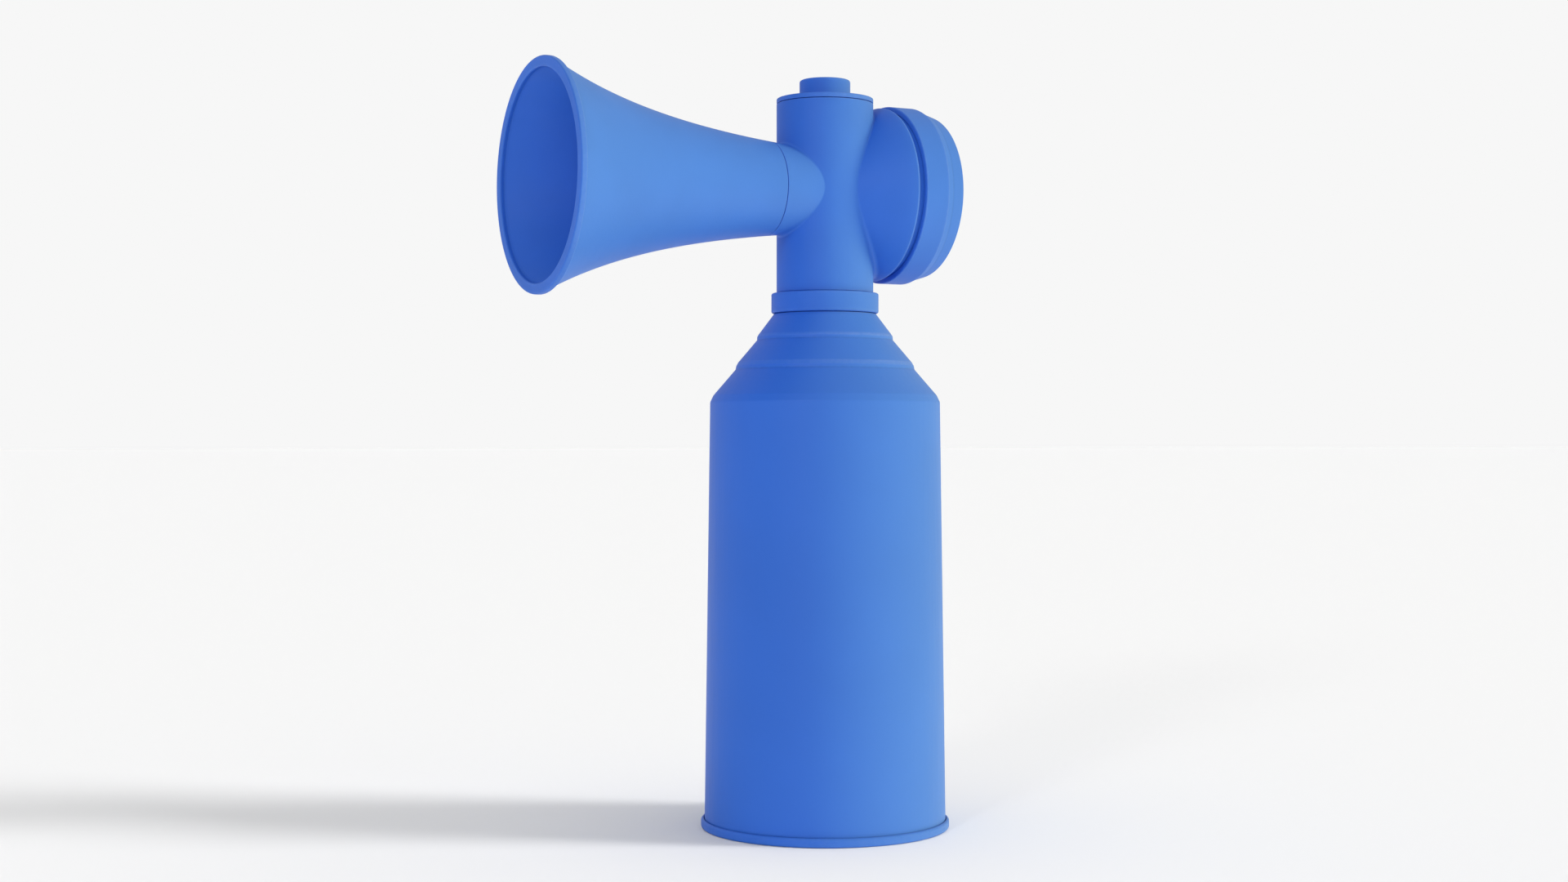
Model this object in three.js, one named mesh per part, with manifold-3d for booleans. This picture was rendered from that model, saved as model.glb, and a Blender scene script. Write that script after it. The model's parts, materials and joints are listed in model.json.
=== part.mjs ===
// Handheld gas signal horn: a steel gas can with an aerosol valve, and a plastic horn head snapped on it.
// Pressing the button moves a plunger that straddles the horn's throat tube and pushes the valve stem.
// Gas fills the neck, reaches the chamber in front of the diaphragm and lifts it off the throat rim.
//
// Units are millimetres, +Z is up and the horn's mouth faces -X. The can's axis is the design axis;
// the whole assembly is shifted along X at the end, so that the origin is under the middle of its box.

import * as THREE from 'three';
import { mergeVertices } from 'three/addons/utils/BufferGeometryUtils.js';
import Module from 'manifold-3d';

// Driving dimensions: the can. Heights are above the surface that it stands on.
const CAN_FOOT_RADIUS = 32.65;
const CAN_SHOULDER_RADIUS = 31.15;
const CAN_SHOULDER_HEIGHT = 114.6;
const CAN_TOP_HEIGHT = 138.8;
const CAN_TOP_RADIUS = 13.85;
const CAN_WALL = 0.4;
const SEAM_RADIUS = 33.6;
const SEAM_HEIGHT = 2.5;
const DOME_RISE = 8;

// The can's neck finish, with the valve crimped on it.
const FINISH_RADIUS = 9.0;
const BEAD_RADIUS = 9.8;
const BEAD_TOP = 144.3;
const FERRULE_RADIUS = 10.3;
const FERRULE_TOP = 145.4;
const PEDESTAL_TOP = 148.3;
const HOUSING_RADIUS = 4.0;
const HOUSING_BOTTOM = 135.0;
const HOUSING_FLANGE = 143.3;
const HOUSING_TOP = 147.0;
const HOUSING_BORE = 3.1;
const STEM_RADIUS = 1.5;
const STEM_BORE = 0.7;
const STEM_SHOULDER = 145.4;
const STEM_TOP = 152.5;

// The horn head.
const NECK_RADIUS = 13.12;
const NECK_BORE = 11.3;
const SKIRT_RADIUS = 12.3;
const SKIRT_BOTTOM = 139.6;
const SNAP_RADIUS = 9.45;
const SKIRT_BORE = 10.45;
const GAS_HOLE_RADIUS = 5.3;
const NECK_TOP = 195.0;
const COLLAR_RADIUS = 14.54;
const COLLAR_TOP = 144.4;
const CAP_TOP = 197.1;
const HORN_HEIGHT = 171.9;
const LEDGE_BOTTOM = 146.4;
const LEDGE_TOP = 148.4;
const SPIGOT_RADIUS = 9.5;
const BOSS_END = 17.57;
const ORING_SECTION = 0.68;
const THROAT_GROOVE = 15.15;
const THROAT_GROOVE_RADIUS = 8.1;
const BUTTON_GROOVE = 192.0;

// The button and its plunger.
const BUTTON_RADIUS = 6.88;
const BUTTON_TOP = 202.15;
const BUTTON_STOP = 188.9;
const PLUNGER_RADIUS = 10.9;
const LEG_INSIDE = 7.0;
const LEG_HALF_WIDTH = 3.4;
const NOSE_RADIUS = 3.6;
const SHAFT_RADIUS = 4.0;
const SHAFT_TOP = 194.0;
const FOOT_BOTTOM = 157.0;
const FOOT_TOP = 159.2;
const CROSSHEAD_BOTTOM = 184.6;
const CROSSHEAD_TOP = 186.6;

// The bell's outside flares as FLARE_BASE + FLARE_GAIN * exp(FLARE_RATE * distance from the can's axis).
const FLARE_BASE = 8.32;
const FLARE_GAIN = 2.76;
const FLARE_RATE = 0.025;
// Its bore is an exponential horn from the throat, behind the can's axis, to the mouth.
const THROAT_RADIUS = 3.0;
const BORE_RATE = 0.02153;
const THROAT_REACH = 21.0;
const LIP_BACK = 81.4;
const MOUTH = 83.1;
const LIP_RADIUS = 30.25;
const MOUTH_RADIUS = 27.4;

// The diaphragm housing at the back.
const BOWL_EDGE = 16.1;
const BOWL_RADIUS = 23.8;
const SEAT_FACE = 20.5;
const SEAT_RADIUS = 19.5;
const THREAD_RADIUS = 22.6;
const COVER_FRONT = 17.8;
const COVER_RADIUS = 24.2;
const BAND_END = 24.6;
const BEVEL_END = 26.6;
const BEVEL_RADIUS = 23.3;
const BACK_RADIUS = 22.2;
const COVER_BACK = 31.6;
const CLAMP_FACE = 23.4;

// Clearances: FIT is left between fixed neighbours, and GAP between parts that only face each other.
const FIT = 0.15;
const GAP = 0.1;
const RING = 32;
const SMALL_RING = 20;

// The middle of the assembly's box lies this far forward of the can's axis.
const AXIS_SHIFT = (MOUTH - SEAM_RADIUS) / 2;

const wasm = await Module();
wasm.setup();

const BLUE = 0x3f78d2;

// ---------------------------------------------------------------- geometry helpers

/** Points of an arc in a profile, from angle `from` to angle `to` in degrees. */
function arc(centreRadius, centreHeight, radius, from, to, steps) {
  const points = [];
  for (let i = 0; i <= steps; i += 1) {
    const angle = THREE.MathUtils.degToRad(from + ((to - from) * i) / steps);
    points.push([centreRadius + radius * Math.cos(angle), centreHeight + radius * Math.sin(angle)]);
  }
  return points;
}

/** Points of a quadratic curve between two profile points, pulled towards `control`. */
function bend(start, control, end, steps) {
  const curve = new THREE.QuadraticBezierCurve(...[start, control, end].map((p) => new THREE.Vector2(...p)));
  return curve.getPoints(steps).map((point) => [point.x, point.y]);
}

/** Points of a formula radius(distance) along the horn, evenly spaced. */
function along(radiusAt, from, to, steps) {
  const points = [];
  for (let i = 0; i <= steps; i += 1) {
    const distance = from + ((to - from) * i) / steps;
    points.push([radiusAt(distance), distance]);
  }
  return points;
}

function turnsAntiClockwise(profile) {
  let area = 0;
  profile.forEach(([radius, height], i) => {
    const [nextRadius, nextHeight] = profile[(i + 1) % profile.length];
    area += radius * nextHeight - nextRadius * height;
  });
  return area > 0;
}

/** Solid of revolution about Z from [radius, height] points, closed on itself or ending on the axis. */
function revolve(profile, segments = RING) {
  const outline = turnsAntiClockwise(profile) ? [...profile] : [...profile].reverse();
  const closesOnItself = outline.every(([radius]) => radius > 0);
  if (closesOnItself) {
    outline.push(outline[0]);
  } else {
    while (outline[0][0] !== 0 || outline[outline.length - 1][0] !== 0) {
      outline.push(outline.shift());
    }
  }
  const geometry = new THREE.LatheGeometry(outline.map((point) => new THREE.Vector2(...point)), segments);
  geometry.rotateX(Math.PI / 2);
  return geometry;
}

/** Solid of revolution about the horn's axis; heights in the profile are distances towards the mouth. */
function revolveForward(profile, segments = RING) {
  return revolve(profile, segments).rotateY(-Math.PI / 2).translate(0, 0, HORN_HEIGHT);
}

/** The same, with distances counted backwards from the can's axis, towards the rear cover. */
function revolveBackward(profile, segments = RING) {
  return revolve(profile, segments).rotateY(Math.PI / 2).translate(0, 0, HORN_HEIGHT);
}

function washer(innerRadius, outerRadius, from, to) {
  return [[innerRadius, from], [outerRadius, from], [outerRadius, to], [innerRadius, to]];
}

function block(sizeX, sizeY, sizeZ, x, y, z) {
  return new THREE.BoxGeometry(sizeX, sizeY, sizeZ).translate(x, y, z);
}

function toSolid(geometry) {
  const bare = geometry.clone();
  bare.deleteAttribute('normal');
  bare.deleteAttribute('uv');
  const merged = mergeVertices(bare, 1e-4);
  return new wasm.Manifold(new wasm.Mesh({
    numProp: 3,
    vertProperties: new Float32Array(merged.attributes.position.array),
    triVerts: new Uint32Array(merged.index.array),
  }));
}

/** Joins the first list of geometries and cuts the second list out of the result. */
function carve(joined, removed) {
  let solid = toSolid(joined[0]);
  joined.slice(1).forEach((geometry) => {
    solid = solid.add(toSolid(geometry));
  });
  removed.forEach((geometry) => {
    solid = solid.subtract(toSolid(geometry));
  });
  const mesh = solid.getMesh();
  const result = new THREE.BufferGeometry();
  result.setAttribute('position', new THREE.BufferAttribute(mesh.vertProperties, 3));
  result.setIndex(new THREE.BufferAttribute(mesh.triVerts, 1));
  result.computeVertexNormals();
  return result;
}

class Helix extends THREE.Curve {
  constructor(radius, bottom, top, turns) {
    super();
    Object.assign(this, { radius, bottom, top, turns });
  }

  getPoint(t, target = new THREE.Vector3()) {
    const angle = 2 * Math.PI * this.turns * t;
    const height = this.bottom + (this.top - this.bottom) * t;
    return target.set(this.radius * Math.cos(angle), this.radius * Math.sin(angle), height);
  }
}

/** Coil spring of round wire that fills the height from `bottom` to `top`. */
function coilSpring(meanRadius, wireRadius, bottom, top, turns) {
  const wire = new THREE.Shape(arc(0, 0, wireRadius, 0, 288, 4).map((point) => new THREE.Vector2(...point)));
  const path = new Helix(meanRadius, bottom + wireRadius * 1.05, top - wireRadius * 1.05, turns);
  return new THREE.ExtrudeGeometry(wire, { extrudePath: path, steps: turns * 10, bevelEnabled: false });
}

// ---------------------------------------------------------------- materials

function finish(color, roughness, metalness) {
  return new THREE.MeshStandardMaterial({ color, roughness, metalness });
}

const FINISHES = {
  paintedSteel: finish(BLUE, 0.42, 0.1),
  bluePlastic: finish(BLUE, 0.5, 0),
  blackRubber: finish(0x1b1c1e, 0.8, 0),
  whiteNylon: finish(0xe6e6e0, 0.45, 0),
  aluminium: finish(0xc4c7cb, 0.35, 0.9),
  springSteel: finish(0xa9adb3, 0.3, 1),
};

// ---------------------------------------------------------------- the can and its valve

function canBody() {
  const shoulder = [[CAN_SHOULDER_RADIUS, CAN_SHOULDER_HEIGHT], [30.9, 115.7], [30.25, 116.75]];
  const lowerStep = [[24.28, 123.7], [24.05, 124.75], [23.55, 125.65]];
  const upperStep = [[18.43, 131.7], [18.38, 132.6], [18.15, 133.05]];
  const cone = [...lowerStep, ...upperStep, [CAN_TOP_RADIUS, CAN_TOP_HEIGHT]];
  const inside = [...shoulder, ...cone].map(([radius, height]) => [radius - CAN_WALL, height - CAN_WALL]);
  const finishOutside = [
    [FINISH_RADIUS + 0.4, CAN_TOP_HEIGHT], [FINISH_RADIUS, CAN_TOP_HEIGHT + 0.4],
    [FINISH_RADIUS, 142.0], [BEAD_RADIUS, 142.6], [BEAD_RADIUS, BEAD_TOP],
  ];
  const boreRadius = FINISH_RADIUS - 0.6;
  return revolve([
    [CAN_FOOT_RADIUS, 0.6],
    ...shoulder, ...cone, ...finishOutside,
    [boreRadius, BEAD_TOP], [boreRadius, CAN_TOP_HEIGHT - CAN_WALL],
    ...inside.reverse(),
    [CAN_FOOT_RADIUS - CAN_WALL, 0.6],
  ]);
}

/** Domed end, folded over the foot of the wall in a double seam that the can stands on. */
function canBase() {
  const wallInside = CAN_FOOT_RADIUS - CAN_WALL - FIT;
  const dome = bend([wallInside - 1.4, 5.4], [wallInside - 10, 5.4 + DOME_RISE], [0, 5.4 + DOME_RISE], 4);
  const underside = dome.map(([radius, height]) => [radius, height - CAN_WALL]).reverse();
  return revolve([
    ...underside,
    [wallInside - CAN_WALL, 4.6], [wallInside - CAN_WALL, 0],
    [SEAM_RADIUS - 0.3, 0], [SEAM_RADIUS, 0.4], [SEAM_RADIUS, SEAM_HEIGHT - 0.6],
    [SEAM_RADIUS - 0.6, SEAM_HEIGHT], [CAN_FOOT_RADIUS + FIT, SEAM_HEIGHT - 0.2],
    [CAN_FOOT_RADIUS + FIT, 0.45], [wallInside, 0.45], [wallInside, 5.0],
    ...dome,
  ]);
}

/** Ferrule crimped under the can's bead, with the pedestal that holds the valve. */
function valveCup() {
  const wallInside = BEAD_RADIUS + GAP;
  return revolve([
    [FINISH_RADIUS + 0.3, 141.95], [FINISH_RADIUS + 0.3, 141.55], [FERRULE_RADIUS - 0.3, 141.55],
    [FERRULE_RADIUS, 141.9], [FERRULE_RADIUS, FERRULE_TOP - 0.3], [FERRULE_RADIUS - 0.3, FERRULE_TOP],
    [4.9, FERRULE_TOP], [4.6, FERRULE_TOP + 0.3], [4.6, PEDESTAL_TOP],
    [2.2, PEDESTAL_TOP], [2.2, PEDESTAL_TOP - 0.4], [4.2, PEDESTAL_TOP - 0.4],
    [4.2, FERRULE_TOP - 0.4], [wallInside, FERRULE_TOP - 0.4], [wallInside, 142.45],
  ]);
}

function cupGasket() {
  return revolve(washer(HOUSING_RADIUS + 0.3, BEAD_RADIUS - GAP, BEAD_TOP + GAP, BEAD_TOP + 0.6));
}

/** Cup for the spring and the stem, hung in the pedestal by its flange; gas enters by the hole below. */
function valveHousing() {
  const inlet = 0.8;
  const floorTop = HOUSING_BOTTOM + 1.2;
  const flangeRadius = 2 * HOUSING_RADIUS;
  return revolve([
    [inlet, HOUSING_BOTTOM], [HOUSING_RADIUS - 0.6, HOUSING_BOTTOM], [HOUSING_RADIUS, HOUSING_BOTTOM + 0.6],
    [HOUSING_RADIUS, HOUSING_FLANGE], [flangeRadius, HOUSING_FLANGE], [flangeRadius, BEAD_TOP],
    [HOUSING_RADIUS, BEAD_TOP], [HOUSING_RADIUS, HOUSING_TOP], [HOUSING_BORE, HOUSING_TOP],
    [HOUSING_BORE, floorTop], [inlet, floorTop],
  ], SMALL_RING);
}

function stemGasket() {
  const bottom = HOUSING_TOP + 0.05;
  return revolve(washer(STEM_RADIUS + GAP, HOUSING_RADIUS, bottom, bottom + 0.8), SMALL_RING);
}

function valveSpring() {
  return coilSpring(2.3, 0.25, HOUSING_BOTTOM + 1.3, STEM_SHOULDER - GAP, 5);
}

/** Hollow stem: its side hole is shut by the gasket at rest and opens into the housing when pushed. */
function valveStem() {
  const flange = 2.7;
  const flangeTop = HOUSING_TOP - 0.05;
  const boreBottom = HOUSING_TOP + GAP;
  const spigot = 1.2;
  const body = revolve([
    [0, STEM_SHOULDER - 2], [spigot, STEM_SHOULDER - 2], [spigot, STEM_SHOULDER], [flange, STEM_SHOULDER],
    [flange, flangeTop], [STEM_RADIUS, flangeTop],
    [STEM_RADIUS, STEM_TOP - 0.3], [STEM_RADIUS - 0.3, STEM_TOP],
    [STEM_BORE, STEM_TOP], [STEM_BORE, boreBottom], [0, boreBottom],
  ], SMALL_RING);
  const sideHole = new THREE.CylinderGeometry(0.3, 0.3, 2 * STEM_RADIUS, 8)
    .rotateZ(Math.PI / 2).translate(STEM_RADIUS, 0, HOUSING_TOP + 0.45);
  return carve([body], [sideHole]);
}

// ---------------------------------------------------------------- the horn head

function flare(distance) {
  return FLARE_BASE + FLARE_GAIN * Math.exp(FLARE_RATE * distance);
}

function boreRadius(distance) {
  return THROAT_RADIUS * Math.exp(BORE_RATE * (distance + THROAT_REACH));
}

/** Hollow neck with the horn's socket in front and the bowl of the diaphragm housing behind. */
function headBody() {
  const neck = revolve([
    [0, SKIRT_BOTTOM], [SKIRT_RADIUS, SKIRT_BOTTOM], [SKIRT_RADIUS, COLLAR_TOP + GAP],
    [NECK_RADIUS, COLLAR_TOP + GAP],
    [NECK_RADIUS, NECK_TOP], [0, NECK_TOP],
  ]);
  const boss = revolveForward([[0, 0], ...along(flare, 0, BOSS_END, 4), [0, BOSS_END]]);
  const bowl = revolveBackward([
    [0, 0], [9.5, 0], ...bend([12.8, 3], [22.2, 12], [BOWL_RADIUS, BOWL_EDGE - 0.4], 6),
    [BOWL_RADIUS - 0.4, BOWL_EDGE], [THREAD_RADIUS, BOWL_EDGE], [THREAD_RADIUS, SEAT_FACE], [0, SEAT_FACE],
  ]);
  const neckBore = revolve([
    [0, SKIRT_BOTTOM - 1], [SNAP_RADIUS, SKIRT_BOTTOM - 1], [SNAP_RADIUS, 141.3], [SKIRT_BORE, 141.5],
    [SKIRT_BORE, LEDGE_BOTTOM], [GAS_HOLE_RADIUS, LEDGE_BOTTOM], [GAS_HOLE_RADIUS, LEDGE_TOP],
    [NECK_BORE, LEDGE_TOP], [NECK_BORE, NECK_TOP + 1], [0, NECK_TOP + 1],
  ]);
  const socket = revolveForward([[0, 0], [SPIGOT_RADIUS + GAP, 0], [SPIGOT_RADIUS + GAP, 20], [0, 20]]);
  const chamber = revolveBackward([
    [0, 0], [8, 0], ...bend([11.9, 5.7], [19.3, 12.6], [SEAT_RADIUS, 15.8], 4), [SEAT_RADIUS, 22], [0, 22],
  ]);
  const fingerSlots = [45, 135].map((angle) => (
    block(1.4, 30, 4.5, 0, 0, 141.6).rotateZ(THREE.MathUtils.degToRad(angle))
  ));
  return carve([neck, boss, bowl], [neckBore, socket, chamber, ...fingerSlots]);
}

/** Ring pushed over the snap fingers, which locks them under the ferrule. */
function lockCollar() {
  const bottom = CAN_TOP_HEIGHT + FIT;
  const bore = SKIRT_RADIUS + FIT;
  return revolve([
    [bore, bottom], [COLLAR_RADIUS - 0.5, bottom], [COLLAR_RADIUS, bottom + 0.6],
    [COLLAR_RADIUS, COLLAR_TOP - 0.6], [COLLAR_RADIUS - 0.3, COLLAR_TOP], [bore, COLLAR_TOP],
  ]);
}

function ferruleSeal() {
  return revolve(washer(GAS_HOLE_RADIUS, FERRULE_RADIUS - 0.2, FERRULE_TOP + GAP, LEDGE_BOTTOM - GAP));
}

/** Bell, spigot and throat tube in one moulding; the tube crosses the neck to the diaphragm. */
function trumpet() {
  const groove = [
    [SPIGOT_RADIUS, THROAT_GROOVE + 0.85], [THROAT_GROOVE_RADIUS, THROAT_GROOVE + 0.85],
    [THROAT_GROOVE_RADIUS, THROAT_GROOVE - 0.85], [SPIGOT_RADIUS, THROAT_GROOVE - 0.85],
  ];
  return revolveForward([
    ...along(boreRadius, -THROAT_REACH, LIP_BACK - 0.2, 8),
    [MOUTH_RADIUS, LIP_BACK + 0.1], [MOUTH_RADIUS, MOUTH - 0.3], [MOUTH_RADIUS + 0.3, MOUTH],
    [LIP_RADIUS - 0.3, MOUTH], [LIP_RADIUS, MOUTH - 0.3], [LIP_RADIUS, LIP_BACK + 0.3],
    [LIP_RADIUS - 0.3, LIP_BACK],
    ...along(flare, LIP_BACK - 0.2, BOSS_END + FIT, 7),
    [SPIGOT_RADIUS, BOSS_END + FIT], ...groove,
    [SPIGOT_RADIUS, 9.8], [SPIGOT_RADIUS - 0.3, 9.5], [7.2, 9.5],
    [4.3, 0.4 - THROAT_REACH], [3.9, -THROAT_REACH],
  ]);
}

function throatOring() {
  return revolveForward(arc(THROAT_GROOVE_RADIUS + 0.75, THROAT_GROOVE, ORING_SECTION, 0, 300, 5));
}

function diaphragmGasket() {
  return revolveBackward(washer(SEAT_RADIUS + GAP, THREAD_RADIUS - GAP, SEAT_FACE + 0.05, SEAT_FACE + 0.5));
}

function diaphragm() {
  return revolveBackward([[0, 21.05], [22.3, 21.05], [22.3, 21.3], [0, 21.3]]);
}

function clampRing() {
  return revolveBackward(washer(SEAT_RADIUS, THREAD_RADIUS - GAP, 21.35, CLAMP_FACE - 0.05));
}

/** Screw-on cover: a grip band, a bevel, and a tapered rim round a slightly domed back. */
function rearCover() {
  const cavity = 19.8;
  const back = bend([21.0, 31.1], [10, COVER_BACK], [0, COVER_BACK], 3);
  return revolveBackward([
    [THREAD_RADIUS + FIT, COVER_FRONT], [COVER_RADIUS - 0.3, COVER_FRONT], [COVER_RADIUS, COVER_FRONT + 0.3],
    [COVER_RADIUS, BAND_END], [BEVEL_RADIUS, BEVEL_END], [BACK_RADIUS, 30.1], [BACK_RADIUS - 0.4, 30.8],
    ...back,
    ...back.map(([radius, distance]) => [Math.min(radius, cavity), distance - 2.2]).reverse(),
    [cavity, CLAMP_FACE], [THREAD_RADIUS + FIT, CLAMP_FACE],
  ]);
}

/** Plug in the top of the neck, with the button's guide bore and its O-ring groove. */
function topCap() {
  const bore = BUTTON_RADIUS + 0.2;
  const flangeBottom = NECK_TOP + FIT;
  return revolve([
    [bore, BUTTON_STOP + 0.2], [NECK_BORE - FIT, BUTTON_STOP + 0.2], [NECK_BORE - FIT, flangeBottom],
    [NECK_RADIUS, flangeBottom],
    ...arc(NECK_RADIUS - 0.3, CAP_TOP - 0.3, 0.3, 0, 90, 2),
    [bore + 0.3, CAP_TOP], [bore, CAP_TOP - 0.3],
    [bore, BUTTON_GROOVE + 0.8], [BUTTON_RADIUS + 1.5, BUTTON_GROOVE + 0.8],
    [BUTTON_RADIUS + 1.5, BUTTON_GROOVE - 0.8], [bore, BUTTON_GROOVE - 0.8],
  ]);
}

function buttonOring() {
  return revolve(arc(BUTTON_RADIUS + 0.78, BUTTON_GROOVE, ORING_SECTION, 0, 300, 5));
}

function returnSpring() {
  return coilSpring(8.6, 0.5, LEDGE_TOP + GAP, FOOT_BOTTOM - GAP, 4);
}

// ---------------------------------------------------------------- the button

/** Flanged button, pressed on the plunger's shaft; the flange is its upper stop under the cap. */
function button() {
  const socket = SHAFT_RADIUS + GAP;
  const flange = BUTTON_RADIUS + 1.8;
  return revolve([
    [socket, CROSSHEAD_TOP + GAP], [flange, CROSSHEAD_TOP + GAP], [flange, BUTTON_STOP],
    [BUTTON_RADIUS, BUTTON_STOP],
    ...arc(BUTTON_RADIUS - 0.6, BUTTON_TOP - 0.6, 0.6, 0, 90, 2),
    [0, BUTTON_TOP], [0, SHAFT_TOP + GAP], [socket, SHAFT_TOP + GAP],
  ]);
}

function rod(radius, bottom, top) {
  return revolve([[0, bottom], [radius, bottom], [radius, top], [0, top]]);
}

/** The plunger's two legs: what is left of a round bar beside the gap for the throat tube. */
function plungerLegs() {
  const bar = rod(PLUNGER_RADIUS, FOOT_TOP - 0.5, CROSSHEAD_BOTTOM + 0.5);
  const middle = (FOOT_TOP + CROSSHEAD_BOTTOM) / 2;
  const tall = 60;
  const flank = 20;
  const flankCentre = LEG_HALF_WIDTH + flank / 2;
  return carve([bar], [
    block(2 * flank, 2 * LEG_INSIDE, tall, 0, 0, middle),
    block(flank, 2 * flank, tall, flankCentre, 0, middle),
    block(flank, 2 * flank, tall, -flankCentre, 0, middle),
  ]);
}

/** Yoke whose legs straddle the throat tube; its nose, slotted for the gas, rests over the valve stem. */
function plunger() {
  const noseBottom = STEM_TOP + GAP;
  const slotDepth = 1.2;
  const gasNotches = [1, -1].map((side) => block(6, 8, 6, side * 9.5, 0, FOOT_TOP));
  return carve(
    [
      rod(PLUNGER_RADIUS, FOOT_BOTTOM, FOOT_TOP),
      rod(NOSE_RADIUS, noseBottom, FOOT_BOTTOM + 0.5),
      plungerLegs(),
      rod(PLUNGER_RADIUS, CROSSHEAD_BOTTOM, CROSSHEAD_TOP),
      rod(SHAFT_RADIUS, CROSSHEAD_TOP - 0.5, SHAFT_TOP),
    ],
    [block(1.4, 3 * NOSE_RADIUS, slotDepth, 0, 0, noseBottom + slotDepth / 2), ...gasNotches],
  );
}

// ---------------------------------------------------------------- assembly

const horn = new THREE.Group();
horn.position.x = AXIS_SHIFT;

function place(name, geometry, material) {
  const mesh = new THREE.Mesh(geometry, material);
  mesh.name = name;
  horn.add(mesh);
}

const { paintedSteel, bluePlastic, blackRubber, whiteNylon, aluminium, springSteel } = FINISHES;

place('can_body', canBody(), paintedSteel);
place('can_base', canBase(), paintedSteel);
place('valve_cup', valveCup(), aluminium);
place('cup_gasket', cupGasket(), blackRubber);
place('valve_housing', valveHousing(), whiteNylon);
place('stem_gasket', stemGasket(), blackRubber);
place('valve_spring', valveSpring(), springSteel);
place('valve_stem', valveStem(), whiteNylon);

place('head_body', headBody(), bluePlastic);
place('lock_collar', lockCollar(), bluePlastic);
place('ferrule_seal', ferruleSeal(), blackRubber);
place('trumpet', trumpet(), bluePlastic);
place('throat_oring', throatOring(), blackRubber);
place('diaphragm_gasket', diaphragmGasket(), blackRubber);
place('diaphragm', diaphragm(), springSteel);
place('clamp_ring', clampRing(), whiteNylon);
place('rear_cover', rearCover(), bluePlastic);
place('top_cap', topCap(), bluePlastic);
place('button_oring', buttonOring(), blackRubber);
place('return_spring', returnSpring(), springSteel);

place('button', button(), bluePlastic);
place('plunger', plunger(), whiteNylon);

export default horn;
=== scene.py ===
"""Looks of a handheld gas signal horn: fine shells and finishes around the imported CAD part."""

import json
import math

import bmesh
import bpy
import numpy as np
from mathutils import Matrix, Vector


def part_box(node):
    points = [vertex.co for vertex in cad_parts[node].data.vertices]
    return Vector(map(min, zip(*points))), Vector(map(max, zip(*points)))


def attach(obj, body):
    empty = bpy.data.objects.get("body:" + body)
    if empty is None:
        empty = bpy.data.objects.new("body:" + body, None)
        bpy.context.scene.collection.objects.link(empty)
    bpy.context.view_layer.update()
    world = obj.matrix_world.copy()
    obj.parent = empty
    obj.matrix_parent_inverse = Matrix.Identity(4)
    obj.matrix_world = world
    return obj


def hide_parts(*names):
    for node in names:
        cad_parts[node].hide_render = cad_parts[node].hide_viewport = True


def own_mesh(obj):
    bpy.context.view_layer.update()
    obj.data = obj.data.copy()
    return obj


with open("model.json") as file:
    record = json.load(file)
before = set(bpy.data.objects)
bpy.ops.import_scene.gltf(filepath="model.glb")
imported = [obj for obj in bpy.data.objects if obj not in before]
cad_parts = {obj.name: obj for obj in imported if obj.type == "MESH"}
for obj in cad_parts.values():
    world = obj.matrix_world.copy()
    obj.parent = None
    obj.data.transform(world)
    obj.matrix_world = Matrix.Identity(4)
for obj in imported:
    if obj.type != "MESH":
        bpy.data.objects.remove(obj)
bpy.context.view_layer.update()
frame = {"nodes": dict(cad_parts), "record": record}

# ---------------------------------------------------------------- dimensions, in millimetres

MM = 0.001
NODE = {name: [Vector(corner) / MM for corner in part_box(name)] for name in frame["nodes"]}


def half_width(node):
    """Half of a node's size across the horn, which is its radius where it is round."""
    low, high = NODE[node]
    return (high.y - low.y) / 2


# Places read from the frame. Distances along the horn are counted from the can's axis.
AXIS_X = (NODE["can_body"][0].x + NODE["can_body"][1].x) / 2
HORN_Z = (NODE["trumpet"][0].z + NODE["trumpet"][1].z) / 2
MOUTH = AXIS_X - NODE["trumpet"][0].x
BOSS_END = AXIS_X - NODE["head_body"][0].x
THROAT = NODE["trumpet"][1].x - AXIS_X
SEAT_FACE = NODE["head_body"][1].x - AXIS_X
COVER_FRONT, COVER_BACK = (corner.x - AXIS_X for corner in NODE["rear_cover"])
COLLAR_BOTTOM, COLLAR_TOP = (corner.z for corner in NODE["lock_collar"])
SKIRT_BOTTOM, NECK_TOP = (corner.z for corner in NODE["head_body"])
CAP_BOTTOM, CAP_TOP = (corner.z for corner in NODE["top_cap"])
BUTTON_BOTTOM, BUTTON_TOP = (corner.z for corner in NODE["button"])
WALL_FOOT, BEAD_TOP = (corner.z for corner in NODE["can_body"])
DOME_TOP = NODE["can_base"][1].z
PLATE_BOTTOM = COLLAR_TOP + 1.6
PLATE_TOP = NECK_TOP - 0.3

LIP_RADIUS = half_width("trumpet")
SEAM_RADIUS = half_width("can_base")
FOOT_RADIUS = half_width("can_body")
COLLAR_RADIUS = half_width("lock_collar")
NECK_RADIUS = half_width("top_cap")
COVER_RADIUS = half_width("rear_cover")

# Shapes that the frame's boxes don't give. Radii are from the piece's own axis, and heights from the floor.
# The can, with corners as (radius, height) and then the rounding, if there is one.
SHOULDER = [(31.14, 114.9, 1.2), (30.25, 116.75, 1.6)]
LOWER_STEP = [(24.28, 123.7, 0.25), (24.05, 124.75, 0.5), (23.55, 125.65, 0.3)]
UPPER_STEP = [(18.43, 131.7, 0.25), (18.38, 132.6, 0.3), (18.15, 133.05, 0.2)]
CONE_TOP = (13.85, 138.8)
FINISH_RADIUS = 9.0
BEAD_RADIUS, BEAD_BOTTOM = 9.8, 142.6
BEAD_NECK_TOP = 142.0
CAN_WALL = 0.4
SEAM_HEIGHT, SEAM_GAP = 2.5, 0.45
CHUCK_CORNER, DOME_FOOT = 4.4, 5.4
COLLAR_BORE = 12.45

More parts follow.
